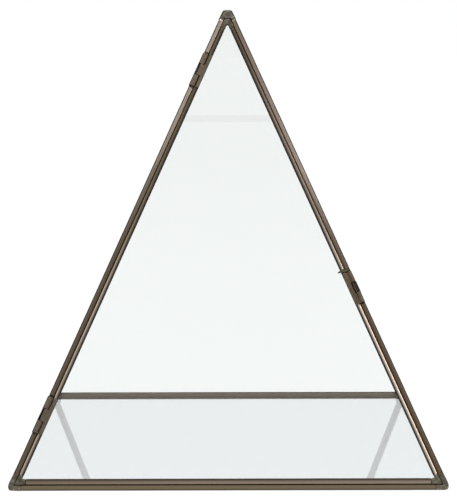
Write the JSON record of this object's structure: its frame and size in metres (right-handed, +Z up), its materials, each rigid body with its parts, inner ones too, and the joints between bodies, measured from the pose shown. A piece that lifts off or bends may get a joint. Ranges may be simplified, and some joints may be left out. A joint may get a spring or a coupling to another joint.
{
  "type": "pyramid display case",
  "caption": "Glass pyramid display case in an antique brass frame with a hinged triangular front door and a lift-pin catch.",
  "frame": {"origin": "middle of the square base, on the surface the case stands on", "axes": "+Z up towards the apex, -Y towards the hinged door, -X towards the hinge side and +X towards the catch side as seen from the front"},
  "size_m": [0.28, 0.28, 0.3029],
  "materials": {
    "antique_brass": "dark patinated brass with lighter rubbed ridges",
    "worn_brass": "handled brass, lighter and smoother",
    "solder": "patinated solder joint",
    "clear_glass": "clear sheet glass, slightly green at its edges"
  },
  "bodies": {
    "case": {"base_rail_front": "antique_brass", "base_rail_right": "antique_brass", "base_rail_back": "antique_brass", "base_rail_left": "antique_brass", "post_front_left": "antique_brass", "post_front_right": "antique_brass", "post_back_left": "antique_brass", "post_back_right": "antique_brass", "corner_joint_front_left": "solder", "corner_joint_front_right": "solder", "corner_joint_back_left": "solder", "corner_joint_back_right": "solder", "apex_joint": "solder", "floor_glass": "clear_glass", "left_glass": "clear_glass", "right_glass": "clear_glass", "back_glass": "clear_glass", "upper_hinge_post_leaf": "antique_brass", "lower_hinge_post_leaf": "antique_brass", "upper_hinge_pin": "worn_brass", "lower_hinge_pin": "worn_brass", "catch_post_clip": "antique_brass"},
    "door": {"door_rail_bottom": "antique_brass", "door_stile_left": "antique_brass", "door_stile_right": "antique_brass", "door_joint_left": "solder", "door_joint_right": "solder", "door_joint_top": "solder", "door_glass": "clear_glass", "upper_hinge_door_leaf": "antique_brass", "lower_hinge_door_leaf": "antique_brass", "catch_door_leaf": "antique_brass"},
    "catch": {"catch_pin": "worn_brass"}
  },
  "joints": [
    {"name": "door_swing", "type": "hinge", "parent": "case", "child": "door", "pos_m": [-0.06872, -0.07059, 0.1537], "axis": [-0.384, -0.384, -0.8397], "range_deg": [0, 115]},
    {"name": "catch_pin_lift", "type": "slide", "parent": "door", "child": "catch", "axis": [-0.384, 0.384, 0.8397], "range_m": [0, 0.0151]}
  ]
}
